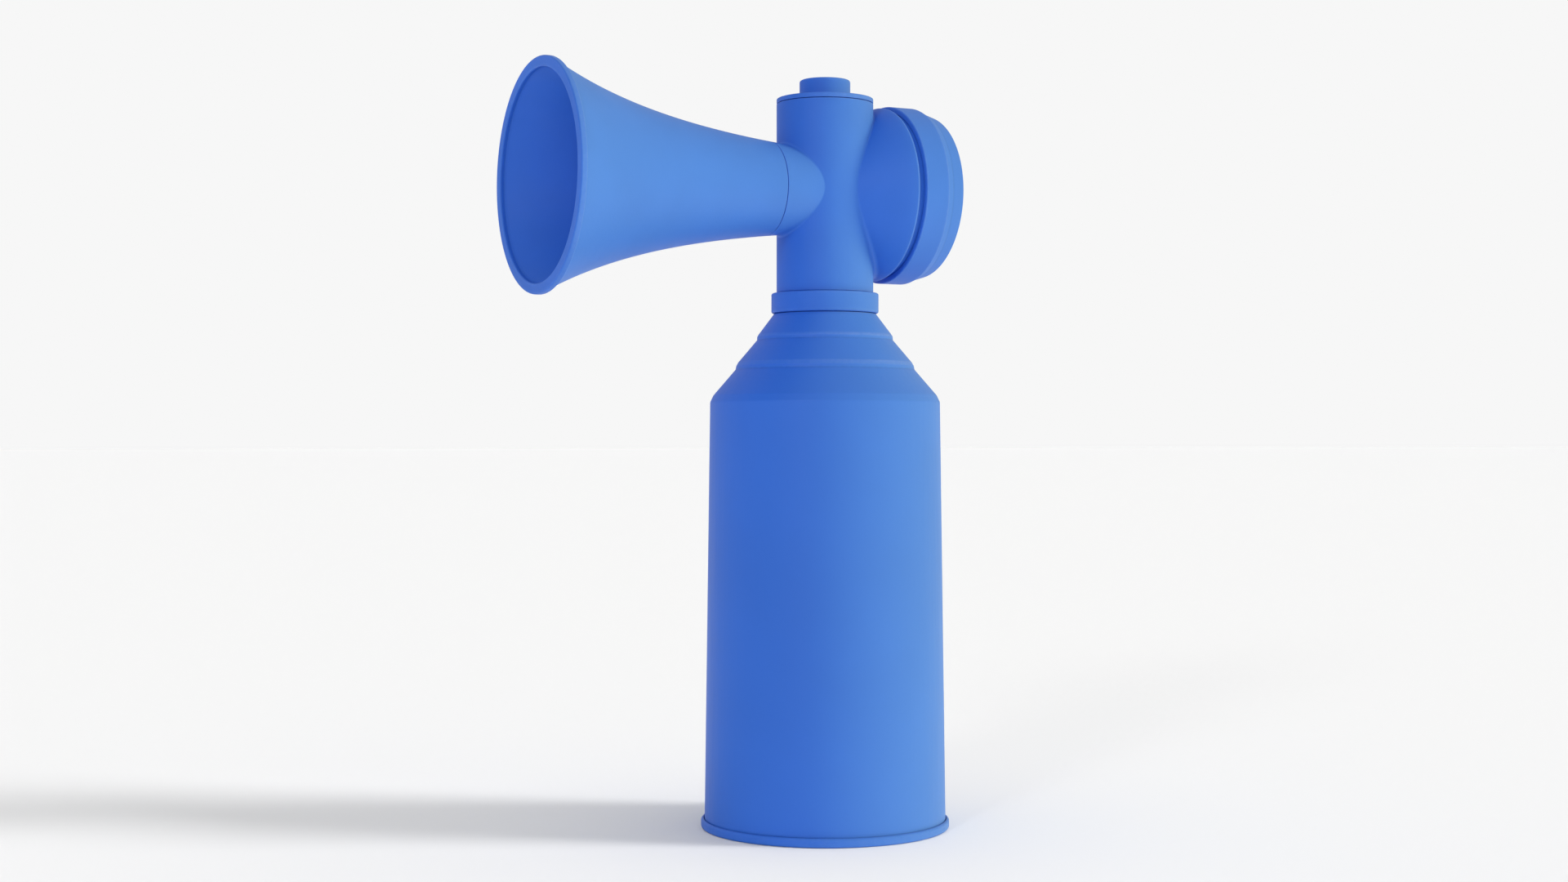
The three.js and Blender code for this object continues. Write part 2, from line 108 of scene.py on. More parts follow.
# The head's neck, with the skirt that snaps under the valve cup and the ledge under the return spring.
NECK_BORE = 11.3
SKIRT_RADIUS = 12.3
SNAP_RADIUS, SNAP_TOP = 9.45, 141.3
POCKET_RADIUS, POCKET_BOTTOM = 10.45, 141.5
LEDGE_BORE, LEDGE_BOTTOM, LEDGE_TOP = 5.3, 146.4, 148.4

# The trumpet, and the distances from the can's axis along it.
SPIGOT_RADIUS, SPIGOT_END = 9.5, 9.5
GROOVE_RADIUS, GROOVE = 8.1, (14.3, 16.0)
FLARE_BASE, FLARE_GAIN, FLARE_RATE = 8.32, 2.76, 0.025
THROAT_RADIUS, BORE_RATE = 3.0, 0.02153
TUBE_FOOT_RADIUS, TUBE_TIP_RADIUS, TUBE_RIM_RADIUS = 7.2, 4.3, 3.9
LIP_BACK = 81.4
LIP_MOUTH_RADIUS = 27.4

# The diaphragm's bowl, whose curves are given by (distance, radius), and its cover.
BOWL_RADIUS, BOWL_EDGE = 23.8, 16.1
BOWL_PULL, BOWL_FOOT = (12.0, 22.2), (3.0, 12.8)
BOWL_BLEND, BOWL_LOWER_BLEND = 0.3, 0.9
SEAT_RADIUS, CHAMBER_EDGE = 19.5, 15.8
CHAMBER_PULL, CHAMBER_FOOT, CHAMBER_END = (12.6, 19.3), (5.7, 11.9), (0.5, 8.3)
SOCKET_BLEND = 0.8
THREAD_RADIUS = 22.6
CLAMP_FACE = 23.4
BAND_END = 24.6
BEVEL = (23.3, 26.6)
BACK_RIM, BACK_EDGE = (22.2, 30.4), (20.6, 31.15)
COVER_CAVITY, COVER_THICKNESS = 19.8, 2.2

# The cap, the button and the springs' wires.
CAP_GROOVE, CAP_GROOVE_REACH = (191.2, 192.8), 1.5
BUTTON_RADIUS, FLANGE_TOP = 6.88, 188.9
THUMB_HOLLOW = 0.5
PEG_BORE, PEG_TOP = 4.1, 194.1
RETURN_WIRE, RETURN_TURNS = 0.5, 4
VALVE_WIRE, VALVE_TURNS = 0.25, 5
FIT = 0.15

ROUND = 160          # columns in a surface of revolution
LONGEST = 4.0        # longest step along an outline
COIL_STEPS = 32      # steps in one turn of a spring
WIRE_SIDES = 12      # columns round a spring's wire
RUB_AND_SHADE_REACH = 0.6     # how far the rubbed look and the painted corner shade spread from a corner
RUB_AND_SHADE_ROUNDING = 0.4  # edges rounded more than this are rubbed less, and concave corners rounded more than this get less painted shade
SKIN_ROWS = 22       # rows of the head's swept skin
FILLET_ROWS = 6      # rows in its blend to the neck
PLATE_ROWS = 9       # rows of the neck's plate around it

# Colours, in linear light.
BLUE = (0.029, 0.144, 0.640)
WARM = (1.0, 0.46, 0.135)

# Sun lights as (name, azimuth, elevation, strength, softness), with the angles in degrees.
OBJECT_LIGHTS = [
    ("key", 54, 12, 7.6, 24),
    ("bounce", 40, -45, 1.9, 40),
]
FLOOR_LIGHTS = [
    ("floor_key", 56.5, 34, 2.3, 15),
    ("floor_top", 0, 90, 0.82, 60),
]
FILL_LIGHT = ("fill", -53, 21, 0.5, 12)
SKY_LIGHT, SKY_SEEN = 0.607, 0.93
FLOOR_GREY = 0.7

# Camera, in metres and degrees, as seen from the can's axis.
LENS, SENSOR = 50, 36
CAMERA_BEARING, CAMERA_TURN = 28.36, 27.2835
CAMERA_DISTANCE, CAMERA_HEIGHT = 0.59122, 0.1044


# ---------------------------------------------------------------- outlines

def fillet(before, corner, after, radius):
    """Points of the arc that rounds one corner."""
    into = np.array(before) - corner
    out = np.array(after) - corner
    into = into / np.linalg.norm(into)
    out = out / np.linalg.norm(out)
    angle = math.acos(float(np.clip(into @ out, -1, 1)))
    reach = radius / math.tan(angle / 2)
    middle = (into + out) / np.linalg.norm(into + out)
    centre = corner + middle * radius / math.sin(angle / 2)
    start = corner + into * reach - centre
    end = corner + out * reach - centre
    steps = max(2, math.ceil(math.degrees(math.pi - angle) / 11))
    sweep = math.pi - angle
    turn = math.copysign(sweep, start[0] * end[1] - start[1] * end[0])
    points = []
    for i in range(steps + 1):
        c, s = math.cos(turn * i / steps), math.sin(turn * i / steps)
        points.append(centre + (start[0] * c - start[1] * s, start[0] * s + start[1] * c))
    return points


def outline(corners, closed=True):
    """Rows of (radius, height, rub-and-shade amount) round corners that are (radius, height) and then the
    rounding.
    """
    flat = np.array([corner[:2] for corner in corners], float)
    rounds = [corner[2] if len(corner) > 2 else 0 for corner in corners]
    following = np.roll(flat, -1, axis=0)
    area = np.sum(flat[:, 0] * following[:, 1] - following[:, 0] * flat[:, 1])
    rows = []
    for i, corner in enumerate(flat):
        before, after = flat[i - 1], flat[(i + 1) % len(flat)]
        if rounds[i] == 0:
            rows.append((*corner, 0.0))
            continue
        into, out = corner - before, after - corner
        turn = into[0] * out[1] - into[1] * out[0]
        sharpness = min(1.0, RUB_AND_SHADE_ROUNDING / rounds[i])
        # Positive on convex corners, which are rubbed; negative on concave corners, which get painted shade.
        wear_and_shade = math.copysign(sharpness, turn * area)
        rows += [(*point, wear_and_shade) for point in fillet(before, corner, after, rounds[i])]
    if closed:
        rows.append(rows[0])
    return spaced(rows)


def spaced(rows):
    """The same outline with steps of at most LONGEST, and the rubbed edges and painted corner shade kept near
    the corners.
    """
    result = [rows[0]]
    for start, end in zip(rows, rows[1:]):
        length = math.dist(start[:2], end[:2])
        cuts = set()
        if start[2] and not end[2] or start[2] and end[2] and length > 3 * RUB_AND_SHADE_REACH:
            cuts.add(min(0.5, RUB_AND_SHADE_REACH / max(length, 1e-9)))
        if end[2] and not start[2] or start[2] and end[2] and length > 3 * RUB_AND_SHADE_REACH:
            cuts.add(1 - min(0.5, RUB_AND_SHADE_REACH / max(length, 1e-9)))
        pieces = math.ceil(length / LONGEST)
        cuts.update(i / pieces for i in range(1, pieces))
        for cut in sorted(cuts):
            radius = start[0] + (end[0] - start[0]) * cut
            height = start[1] + (end[1] - start[1]) * cut
            result.append((radius, height, 0.0))
        result.append(end)
    return result


def arc_points(start, control, end, steps):
    """Points of a quadratic curve from start to end, pulled towards control."""
    points = []
    for i in range(steps + 1):
        t = i / steps
        points.append(tuple(
            a * (1 - t) ** 2 + 2 * b * t * (1 - t) + c * t * t for a, b, c in zip(start, control, end)
        ))
    return points


# ---------------------------------------------------------------- surfaces

def spin_up(rows):
    """Surface of revolution about the can's axis, as a grid of points with their rub-and-shade amounts."""
    rows = np.array(rows)
    angles = np.arange(ROUND) * 2 * math.pi / ROUND
    x = rows[:, :1] * np.cos(angles)
    y = rows[:, :1] * np.sin(angles)
    z = np.repeat(rows[:, 1:2], ROUND, axis=1)
    return np.stack([x, y, z], axis=2), np.repeat(rows[:, 2:3], ROUND, axis=1)


def spin_along(rows, side):
    """Surface of revolution about the horn's axis; side is -1 towards the mouth and 1 towards the cover."""
    points, wear_and_shade = spin_up(rows)
    turned = np.stack([side * points[..., 2], points[..., 1], HORN_Z + points[..., 0]], axis=2)
    return turned, wear_and_shade


def make_piece(name, grids, material):
    """Mesh welded from grids whose columns wrap round."""
    bm = bmesh.new()
    # Per-point amount: rubbed edges where positive, painted corner shade where negative.
    wear_and_shade_layer = bm.verts.layers.float.new("wear_and_shade")
    for points, wear_and_shade in grids:
        rows, columns = points.shape[:2]
        verts = []
        for point, amount in zip(points.reshape(-1, 3), wear_and_shade.reshape(-1)):
            vert = bm.verts.new(((point[0] + AXIS_X) * MM, point[1] * MM, point[2] * MM))
            vert[wear_and_shade_layer] = amount
            verts.append(vert)
        for row in range(rows - 1):
            for column in range(columns):
                after = (column + 1) % columns
                bm.faces.new((
                    verts[row * columns + column], verts[row * columns + after],
                    verts[(row + 1) * columns + after], verts[(row + 1) * columns + column],
                ))
    bmesh.ops.remove_doubles(bm, verts=bm.verts, dist=1e-6)
    bmesh.ops.dissolve_degenerate(bm, edges=bm.edges, dist=1e-7)
    loose = [edge for edge in bm.edges if edge.is_wire]
    bmesh.ops.delete(bm, geom=loose, context="EDGES")
    bmesh.ops.recalc_face_normals(bm, faces=bm.faces)
    for face in bm.faces:
        face.smooth = True
    mesh = bpy.data.meshes.new(name)
    bm.to_mesh(mesh)
    bm.free()
    mesh.materials.append(material)
    piece = bpy.data.objects.new(name, mesh)
    bpy.context.collection.objects.link(piece)
    normals = piece.modifiers.new("even_shading", "WEIGHTED_NORMAL")
    normals.keep_sharp = True
    return piece


# ---------------------------------------------------------------- the head body's blended surface

def flare(distance):
    """Outer radius of the trumpet at a distance from the can's axis."""
    return FLARE_BASE + FLARE_GAIN * math.exp(FLARE_RATE * distance)


def bore_radius(distance):
    """Radius of the trumpet's bore there, which grows steadily from the throat."""
    return THROAT_RADIUS * math.exp(BORE_RATE * (distance + THROAT))


def sweep_angles():
    """Angles round the horn's axis, 0 at the top, with the plates' four corners among them."""
    half_girth = NECK_RADIUS * math.pi / 2
    top = math.atan2(half_girth, PLATE_TOP - HORN_Z)
    bottom = math.pi - math.atan2(half_girth, HORN_Z - PLATE_BOTTOM)
    stretches = [(-top, top, 48), (top, bottom, 56), (bottom, 2 * math.pi - bottom, 44),
                 (2 * math.pi - bottom, 2 * math.pi - top, 56)]
    return np.concatenate([np.linspace(a, b, n, endpoint=False) for a, b, n in stretches])


SWEEP = sweep_angles()


def plate_edge(angle):
    """Where the ray at this angle leaves the neck's half-turn plate, as (turn round the neck, height)."""
    half_girth = NECK_RADIUS * math.pi / 2
    across, up = math.sin(angle), math.cos(angle)
    limits = [half_girth / abs(across)] if abs(across) > 1e-9 else []
    limits.append((PLATE_TOP - HORN_Z if up > 0 else HORN_Z - PLATE_BOTTOM) / max(abs(up), 1e-9))
    reach = min(limits)
    return reach * across / NECK_RADIUS, HORN_Z + reach * up


def meeting(curve, angle, neck_radius, blend):
    """Place on a curve of revolution where a ball of radius blend touches both it and the neck."""
    def ball(t):
        """Point of the curve, and the centre of the ball that rests on it there."""
        point = np.array(curve(t))
        step = 1e-4
        tangent = np.array(curve(min(t + step, 1.0))) - np.array(curve(max(t - step, 0.0)))
        normal = np.array([-tangent[1], tangent[0]]) / np.linalg.norm(tangent)
        if normal[1] < 0:
            normal = -normal
        return point, point + normal * blend

    low, high = 0.0, 1.0
    for _ in range(40):
        t = (low + high) / 2
        _, centre = ball(t)
        outside = math.hypot(centre[0], centre[1] * math.sin(angle)) > neck_radius + blend
        low, high = (t, high) if outside else (low, t)
    return low, *ball(low)


def joined_surface(curve, edge_rows, side, neck_radius, blend_at):
    """Grids of one side of the neck: the swept curve, its fillet, and the neck's plate around it."""
    swept, plate = [], []
    for angle in SWEEP:
        spread = np.array([math.sin(angle), math.cos(angle)])
        blend = blend_at(angle)
        t_end, touch, centre = meeting(curve, angle, neck_radius, blend)
        column = [(d, r * spread[0], r * spread[1]) for r, d, _ in edge_rows]
        for t in np.linspace(0, t_end, SKIN_ROWS)[1:]:
            d, r = curve(t)
            column.append((d, r * spread[0], r * spread[1]))
        ball = np.array([centre[0], centre[1] * spread[0], centre[1] * spread[1]])
        on_curve = np.array([touch[0], touch[1] * spread[0], touch[1] * spread[1]])
        inward = np.array([ball[0], ball[1], 0.0])
        on_neck = ball - inward / np.linalg.norm(inward) * blend
        if blend > 0:
            first, last = (on_curve - ball) / blend, (on_neck - ball) / blend
            turn = math.acos(float(np.clip(first @ last, -1, 1)))
            for i in range(1, FILLET_ROWS + 1):
                weight = i / FILLET_ROWS
                if turn < 1e-4:
                    column.append(tuple(on_neck))
                    continue
                ray = math.sin(turn * (1 - weight)) * first + math.sin(turn * weight) * last
                column.append(tuple(ball + ray / math.sin(turn) * blend))
        swept.append(column)
        foot = np.array([math.atan2(on_neck[1], on_neck[0]), HORN_Z + on_neck[2]])
        rim = np.array(plate_edge(angle))
        plate.append([foot + (rim - foot) * w for w in np.linspace(0, 1, PLATE_ROWS)])
    swept = np.array(swept).transpose(1, 0, 2)
    plate = np.array(plate).transpose(1, 0, 2)
    wear_and_shade = np.zeros(swept.shape[:2])
    wear_and_shade[:len(edge_rows)] = np.array([row[2] for row in edge_rows])[:, None]
    shell = np.stack([side * swept[..., 0], swept[..., 1], HORN_Z + swept[..., 2]], axis=2)
    wall = np.stack([
        side * neck_radius * np.cos(plate[..., 0]), neck_radius * np.sin(plate[..., 0]), plate[..., 1],
    ], axis=2)
    return [(shell, wear_and_shade), (wall, np.zeros(wall.shape[:2]))]


def neck_end(rows, at_top):
    """Grid that closes the neck above or below the two plates, on the plates' own columns."""
    level = PLATE_TOP if at_top else PLATE_BOTTOM
    edges = [plate_edge(angle) for angle in SWEEP]
    turns = sorted({round(turn, 9) for turn, height in edges if abs(height - level) < 1e-6})
    angles = np.array(turns[:-1] + [math.pi - turn for turn in reversed(turns)][:-1])
    rows = np.array(rows)
    grid = np.stack([
        rows[:, :1] * np.cos(angles),
        rows[:, :1] * np.sin(angles),
        np.repeat(rows[:, 1:2], len(angles), axis=1),
    ], axis=2)
    return grid, np.repeat(rows[:, 2:3], len(angles), axis=1)


def follow(points):
    """Function of 0 to 1 that runs evenly along a list of points."""
    points = np.array(points)
    lengths = np.concatenate([[0], np.cumsum(np.linalg.norm(np.diff(points, axis=0), axis=1))])
    return lambda t: tuple(np.interp(t * lengths[-1], lengths, points[:, i]) for i in (0, 1))


def bowl_blend(angle):
    """Rounding where the bowl meets the neck, which is largest underneath."""
    return BOWL_BLEND + BOWL_LOWER_BLEND * math.sin(angle / 2) ** 2


def head_body_grids():
    """Neck, socket and bowl as one skin with blended corners, hollow inside, and the spring's ledge."""
    bore_size = SPIGOT_RADIUS + 0.1
    socket_top = BOSS_END - 0.4
    socket = follow([(d, flare(d)) for d in np.linspace(socket_top, 0, 20)])
    bowl_points = arc_points((BOWL_EDGE - 0.3, BOWL_RADIUS), BOWL_PULL, BOWL_FOOT, 60)[3:]
    bowl = follow(bowl_points)
    chamber_points = arc_points((CHAMBER_EDGE, SEAT_RADIUS), CHAMBER_PULL, CHAMBER_FOOT, 40)
    chamber = follow(chamber_points + [CHAMBER_END])
    bore = follow([(BOSS_END, bore_size), (0, bore_size)])

    socket_edge = outline([
        (bore_size, BOSS_END), (flare(BOSS_END), BOSS_END, 0.2), (flare(socket_top), socket_top),
    ], closed=False)
    bowl_edge = outline([
        (SEAT_RADIUS, SEAT_FACE), (THREAD_RADIUS, SEAT_FACE, 0.3), (THREAD_RADIUS, BOWL_EDGE),
        (BOWL_RADIUS, BOWL_EDGE, 0.45), tuple(reversed(bowl_points[0])),
    ], closed=False)
    grids = joined_surface(socket, socket_edge, -1, NECK_RADIUS, lambda angle: SOCKET_BLEND)
    grids += joined_surface(bowl, bowl_edge, 1, NECK_RADIUS, bowl_blend)
    grids += joined_surface(bore, [(bore_size, BOSS_END, 0)], -1, NECK_BORE, lambda angle: 0.0)
    seat = [(SEAT_RADIUS, SEAT_FACE, 0), (SEAT_RADIUS, CHAMBER_EDGE, 0)]
    grids += joined_surface(chamber, seat, 1, NECK_BORE, lambda angle: 0.0)
    grids.append(neck_end(outline([
        (NECK_RADIUS, PLATE_TOP), (NECK_RADIUS, NECK_TOP, 0.2),
        (NECK_BORE, NECK_TOP), (NECK_BORE, PLATE_TOP),
    ], closed=False), at_top=True))
    neck_foot = COLLAR_TOP + 0.1
    grids.append(neck_end(outline([
        (NECK_RADIUS, PLATE_BOTTOM), (NECK_RADIUS, neck_foot, 0.2), (SKIRT_RADIUS, neck_foot),
        (SKIRT_RADIUS, SKIRT_BOTTOM, 0.3), (SNAP_RADIUS, SKIRT_BOTTOM), (SNAP_RADIUS, SNAP_TOP),
        (POCKET_RADIUS, POCKET_BOTTOM), (POCKET_RADIUS, PLATE_BOTTOM), (NECK_BORE, PLATE_BOTTOM),
    ], closed=False), at_top=False))
    ledge_radius = NECK_BORE + 0.3
    grids.append(spin_up(outline([
        (LEDGE_BORE, LEDGE_BOTTOM), (ledge_radius, LEDGE_BOTTOM),
        (ledge_radius, LEDGE_TOP), (LEDGE_BORE, LEDGE_TOP),
    ])))
    return grids


# ---------------------------------------------------------------- outlines of the round pieces

def can_body_rows():
    """Tapered wall, rounded shoulder, stepped cone and the bead under the valve cup."""
    outside = [(FOOT_RADIUS, WALL_FOOT), *SHOULDER, *LOWER_STEP, *UPPER_STEP, (*CONE_TOP, 0.2)]
    can_top = CONE_TOP[1]
    neck_bore = FINISH_RADIUS - 0.6
    neck = [
        (FINISH_RADIUS, can_top, 0.3), (FINISH_RADIUS, BEAD_NECK_TOP, 0.3), (BEAD_RADIUS, BEAD_BOTTOM, 0.3),
        (BEAD_RADIUS, BEAD_TOP, 0.3), (neck_bore, BEAD_TOP), (neck_bore, can_top - CAN_WALL),
    ]
    inside = [(r - CAN_WALL, z - CAN_WALL) for r, z, *_ in reversed(outside[1:])]
    return outline(outside + neck + inside + [(FOOT_RADIUS - CAN_WALL, WALL_FOOT)])


def can_base_rows():
    """Double seam, chuck wall and dome."""
    chuck = FOOT_RADIUS - CAN_WALL - FIT
    dome = arc_points((chuck - 1.2, DOME_FOOT), (chuck - 10, DOME_TOP), (0, DOME_TOP), 14)
    below = [(r, z - CAN_WALL) for r, z in reversed(dome)]
    return outline(below + [
        (chuck - CAN_WALL, CHUCK_CORNER, 0.5), (chuck - CAN_WALL, 0, 0.35), (SEAM_RADIUS, 0, 0.75),
        (SEAM_RADIUS, SEAM_HEIGHT, 0.75), (FOOT_RADIUS + FIT, SEAM_HEIGHT, 0.2),
        (FOOT_RADIUS + FIT, SEAM_GAP), (chuck, SEAM_GAP), (chuck, DOME_FOOT - 0.3, 0.4),
    ] + dome, closed=False)


def lock_collar_rows():
    """Plain ring with rounded outer edges."""
    return outline([
        (COLLAR_BORE, COLLAR_BOTTOM), (COLLAR_RADIUS, COLLAR_BOTTOM, 0.55),
        (COLLAR_RADIUS, COLLAR_TOP, 0.5), (COLLAR_BORE, COLLAR_TOP),
    ])


def trumpet_rows():
    """Bore, square lip, flare, spigot with its seal groove, and the throat tube."""
    bore = [(bore_radius(d), d) for d in np.linspace(-THROAT, LIP_BACK - 0.2, 40)]
    shoulder = BOSS_END + FIT
    bell = [(flare(d), d) for d in np.linspace(LIP_BACK - 0.9, shoulder + 0.5, 30)]
    groove_near, groove_far = GROOVE
    return outline(bore + [
        (LIP_MOUTH_RADIUS, LIP_BACK + 0.6, 0.15), (LIP_MOUTH_RADIUS, MOUTH, 0.4), (LIP_RADIUS, MOUTH, 0.45),
        (LIP_RADIUS, LIP_BACK, 0.35), (flare(LIP_BACK), LIP_BACK, 0.35),
    ] + bell + [
        (flare(shoulder), shoulder, 0.2), (SPIGOT_RADIUS, shoulder),
        (SPIGOT_RADIUS, groove_far, 0.1), (GROOVE_RADIUS, groove_far, 0.1),
        (GROOVE_RADIUS, groove_near, 0.1), (SPIGOT_RADIUS, groove_near, 0.1),
        (SPIGOT_RADIUS, SPIGOT_END, 0.3), (TUBE_FOOT_RADIUS, SPIGOT_END, 0.3),
        (TUBE_TIP_RADIUS, 0.4 - THROAT), (TUBE_RIM_RADIUS, -THROAT, 0.1),
    ])


def rear_cover_rows():
    """Grip band, bevel, and a tapered rim round a slightly domed back."""
    back = arc_points(BACK_EDGE, (10, COVER_BACK), (0, COVER_BACK), 14)
    inside = [(min(r, COVER_CAVITY), d - COVER_THICKNESS) for r, d in reversed(back)]
    return outline([
        (THREAD_RADIUS + FIT, COVER_FRONT, 0.1), (COVER_RADIUS, COVER_FRONT, 0.35),
        (COVER_RADIUS, BAND_END, 0.4), (*BEVEL, 0.3), (*BACK_RIM, 0.9),
    ] + back + inside + [(COVER_CAVITY, CLAMP_FACE), (THREAD_RADIUS + FIT, CLAMP_FACE)])


def top_cap_rows():
    """Disc and plug, with a groove in the bore for the button's seal."""
    bore = BUTTON_RADIUS + 0.2
    plug = NECK_BORE - FIT
    groove = BUTTON_RADIUS + CAP_GROOVE_REACH
    groove_bottom, groove_top = CAP_GROOVE
    return outline([
        (bore, CAP_BOTTOM), (plug, CAP_BOTTOM, 0.4), (plug, NECK_TOP + FIT),
        (NECK_RADIUS, NECK_TOP + FIT, 0.2), (NECK_RADIUS, CAP_TOP, 0.25), (bore, CAP_TOP, 0.35),
        (bore, groove_top, 0.1), (groove, groove_top, 0.1),
        (groove, groove_bottom, 0.1), (bore, groove_bottom, 0.1),
    ])


def button_rows():
    """Flanged button with a rounded edge, a shallow hollow for the thumb and a bore for the plunger's peg."""
    flange = BUTTON_RADIUS + 1.8
    floor = BUTTON_TOP - THUMB_HOLLOW
    hollow = arc_points((BUTTON_RADIUS - 1.6, BUTTON_TOP), (2.5, floor), (0, floor), 8)
    return outline([
        (PEG_BORE, BUTTON_BOTTOM), (flange, BUTTON_BOTTOM, 0.3), (flange, FLANGE_TOP, 0.3),
        (BUTTON_RADIUS, FLANGE_TOP, 0.2), (BUTTON_RADIUS, BUTTON_TOP, 0.6),
    ] + hollow + [(0, PEG_TOP), (PEG_BORE, PEG_TOP)])


# ---------------------------------------------------------------- springs

def coil_grid(node, wire, turns):
    """Round wire wound into a spring with closed ends that fills a node's height."""
    bottom, top = (corner.z for corner in NODE[node])
    radius = half_width(node) - wire
    turn = np.linspace(0, turns, turns * COIL_STEPS + 1)
    height = np.interp(turn, [0, 1, turns - 1, turns], [
        bottom + wire, bottom + 3 * wire, top - 3 * wire, top - wire,
    ])
    angle = 2 * math.pi * turn
    outward = np.stack([np.cos(angle), np.sin(angle), np.zeros_like(angle)], axis=1)
    path = radius * outward + np.stack([np.zeros_like(angle), np.zeros_like(angle), height], axis=1)
    along = np.gradient(path, axis=0)
    along /= np.linalg.norm(along, axis=1, keepdims=True)
    upward = np.cross(along, outward)
    round_wire = (np.arange(WIRE_SIDES) * 2 * math.pi / WIRE_SIDES)[None, :, None]
    section = outward[:, None] * np.cos(round_wire) + upward[:, None] * np.sin(round_wire)
    tube = path[:, None] + wire * section
    ends = [np.repeat(path[i][None, None], WIRE_SIDES, axis=1) for i in (0, -1)]
    grid = np.concatenate([ends[0], tube, ends[1]])
    return grid, np.zeros(grid.shape[:2])


# ---------------------------------------------------------------- finishes

def sharpen(tree, value, low, high):
    """Value stretched so that low becomes 0 and high becomes 1."""
    node = tree.nodes.new("ShaderNodeMapRange")
    node.inputs["From Min"].default_value = low
    node.inputs["From Max"].default_value = high
    tree.links.new(value, node.inputs["Value"])
    return node.outputs["Result"]


def between(tree, value, low, high):
    """Value from 0 to 1 turned into a number from low to high."""
    node = tree.nodes.new("ShaderNodeMapRange")
    node.inputs["To Min"].default_value = low
    node.inputs["To Max"].default_value = high
    tree.links.new(value, node.inputs["Value"])
    return node.outputs["Result"]


def noise(tree, place, size, detail=3.0, stretch=(1, 1, 1)):
    """Cloudy pattern whose features are about size metres across."""
    mapping = tree.nodes.new("ShaderNodeMapping")
    mapping.inputs["Scale"].default_value = [s / size for s in stretch]
    tree.links.new(place, mapping.inputs["Vector"])
    node = tree.nodes.new("ShaderNodeTexNoise")
    node.inputs["Scale"].default_value = 1.0
    node.inputs["Detail"].default_value = detail
    tree.links.new(mapping.outputs["Vector"], node.inputs["Vector"])
    return node.outputs["Fac"]


def blend_colours(tree, amount, first, second):
    """Colour that goes from the first to the second, each a socket or a constant, as amount goes to 1."""
    node = tree.nodes.new("ShaderNodeMix")
    node.data_type = "RGBA"
    for socket, value in ((node.inputs[6], first), (node.inputs[7], second)):
        if isinstance(value, bpy.types.NodeSocket):
            tree.links.new(value, socket)
        else:
            socket.default_value = (*value, 1)
    tree.links.new(amount, node.inputs[0])
    return node.outputs[2]


def calculate(tree, operation, first, second):
    """Result of one maths operation on two sockets or constants."""
    node = tree.nodes.new("ShaderNodeMath")
    node.operation = operation
    for socket, value in zip(node.inputs, (first, second)):
        if isinstance(value, bpy.types.NodeSocket):
            tree.links.new(value, socket)
        else:
            socket.default_value = value
    return node.outputs[0]


def bump(tree, height, depth, under=None):
    """Relief of the given depth in metres, on top of another bump."""
    node = tree.nodes.new("ShaderNodeBump")
    node.inputs["Distance"].default_value = depth
    tree.links.new(height, node.inputs["Height"])
    if under is not None:
        tree.links.new(under, node.inputs["Normal"])
    return node.outputs["Normal"]


def new_finish(name):
    """New material, with its tree, its shader and the place on the object that patterns follow."""
    material = bpy.data.materials.new(name)
    material.use_nodes = True
    tree = material.node_tree
    shader = tree.nodes["Principled BSDF"]
    place = tree.nodes.new("ShaderNodeTexCoord").outputs["Object"]
    return material, tree, shader, place


def edge_wear_and_corner_shade(tree, place):
    """Masks from 0 to 1 of the rubbed edges and of the painted shade in the concave corners, broken up by
    noise.
    """
    node = tree.nodes.new("ShaderNodeAttribute")
    node.attribute_name = "wear_and_shade"
    patchy = between(tree, noise(tree, place, 0.0012, 3), 0.3, 1.3)
    amount = calculate(tree, "MULTIPLY", node.outputs["Fac"], patchy)
    # The second mask is painted shade: it darkens the concave corners.
    return sharpen(tree, amount, 0.35, 1.0), sharpen(tree, amount, -0.2, -1.0)


def shade(colour, factor):
    """Colour made lighter or darker."""
    return tuple(min(1.0, channel * factor) for channel in colour)


def worn_blue_with_painted_shade(tree, place, cloud_size, contrast, bare, rub):
    """The horn's blue: slightly cloudy, nearer to bare on rubbed edges, with painted shade darkening the
    concave corners.
    """
    clouds = sharpen(tree, noise(tree, place, cloud_size), 0.3, 0.7)
    base = blend_colours(tree, clouds, shade(BLUE, 1 - contrast), shade(BLUE, 1 + contrast))
    worn, painted_corner_shade = edge_wear_and_corner_shade(tree, place)
    rubbed = blend_colours(tree, between(tree, worn, 0, rub), base, bare)
    # Painted shade: concave corners are blended towards a darker blue.
    return blend_colours(tree, between(tree, painted_corner_shade, 0, 0.3), rubbed, shade(BLUE, 0.6))


def blue_plastic():
    """Satin moulded plastic with a fine spark-eroded grain."""
    material, tree, shader, place = new_finish("blue_plastic")
    colour = worn_blue_with_painted_shade(tree, place, cloud_size=0.03, contrast=0.05, bare=(0.14, 0.30, 0.75), rub=0.12)
    tree.links.new(colour, shader.inputs["Base Color"])
    grease = noise(tree, place, 0.012, 4)
    tree.links.new(between(tree, grease, 0.44, 0.60), shader.inputs["Roughness"])
    shader.inputs["Specular IOR Level"].default_value = 0.25
    fine = bump(tree, noise(tree, place, 0.00035, 2), 0.00002)
    soft = bump(tree, noise(tree, place, 0.006, 2), 0.00005, fine)
    tree.links.new(soft, shader.inputs["Normal"])
    return material


